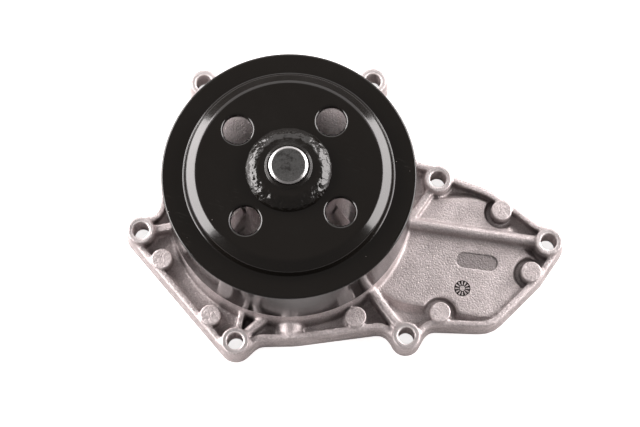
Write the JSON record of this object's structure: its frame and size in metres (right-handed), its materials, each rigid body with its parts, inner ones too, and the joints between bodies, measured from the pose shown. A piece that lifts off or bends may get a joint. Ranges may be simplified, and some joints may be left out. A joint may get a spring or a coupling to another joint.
{
  "type": "automotive water pump",
  "caption": "Belt-driven engine coolant pump: lobed die-cast body with bolt bosses and ribs, black dished pulley on a sealed shaft bearing, face seal and vaned impeller on the wet side.",
  "frame": {"origin": "on the shaft axis, at the joint face that bolts to the engine block", "axes": "+Z along the shaft towards the pulley, +X towards the long lobe with the farthest bolt boss"},
  "size_m": [0.1905, 0.1307, 0.0728],
  "materials": {
    "cast_aluminium": "fine as-cast grain, warm light grey",
    "black_coating": "gloss black",
    "shaft_steel": "ground, turned end face",
    "bearing_steel": "polished",
    "stainless": "drawn, satin",
    "impeller_steel": "zinc plated, satin",
    "seal_rubber": "matt black",
    "carbon": "lapped grey-black carbon",
    "seat_ceramic": "lapped, off-white",
    "cage_nylon": "moulded, natural nylon"
  },
  "bodies": {
    "body": {"housing": "cast_aluminium", "body_seal": "seal_rubber", "bearing_outer_ring": "bearing_steel", "bearing_seal_front": "seal_rubber", "bearing_seal_rear": "seal_rubber", "seal_cup": "stainless", "seal_bellows": "seal_rubber", "seal_spring": "stainless", "seal_retainer": "stainless", "seal_carbon_ring": "carbon"},
    "rotor": {"shaft": "shaft_steel", "pulley": "black_coating", "pulley_hub": "black_coating", "impeller": "impeller_steel", "impeller_hub": "impeller_steel", "seal_seat_cup": "seal_rubber", "seal_seat_ring": "seat_ceramic"},
    "front_ball_set": {"cage_front": "cage_nylon", "ball_front_1": "bearing_steel", "ball_front_2": "bearing_steel", "ball_front_3": "bearing_steel", "ball_front_4": "bearing_steel", "ball_front_5": "bearing_steel", "ball_front_6": "bearing_steel", "ball_front_7": "bearing_steel"},
    "rear_ball_set": {"cage_rear": "cage_nylon", "ball_rear_1": "bearing_steel", "ball_rear_2": "bearing_steel", "ball_rear_3": "bearing_steel", "ball_rear_4": "bearing_steel", "ball_rear_5": "bearing_steel", "ball_rear_6": "bearing_steel", "ball_rear_7": "bearing_steel"}
  },
  "joints": [
    {"name": "rotor_spin", "type": "hinge", "parent": "body", "child": "rotor", "pos_m": [0, 0, 0], "axis": [0, 0, 1], "continuous": true},
    {"name": "front_ball_set_spin", "type": "hinge", "parent": "body", "child": "front_ball_set", "pos_m": [0, 0, 0.0524], "axis": [0, 0, 1], "continuous": true},
    {"name": "rear_ball_set_spin", "type": "hinge", "parent": "body", "child": "rear_ball_set", "pos_m": [0, 0, 0.0362], "axis": [0, 0, 1], "continuous": true}
  ],
  "couplings": [
    {"joint": "front_ball_set_spin", "follows": "rotor_spin", "ratio": 0.37},
    {"joint": "rear_ball_set_spin", "follows": "rotor_spin", "ratio": 0.37}
  ]
}
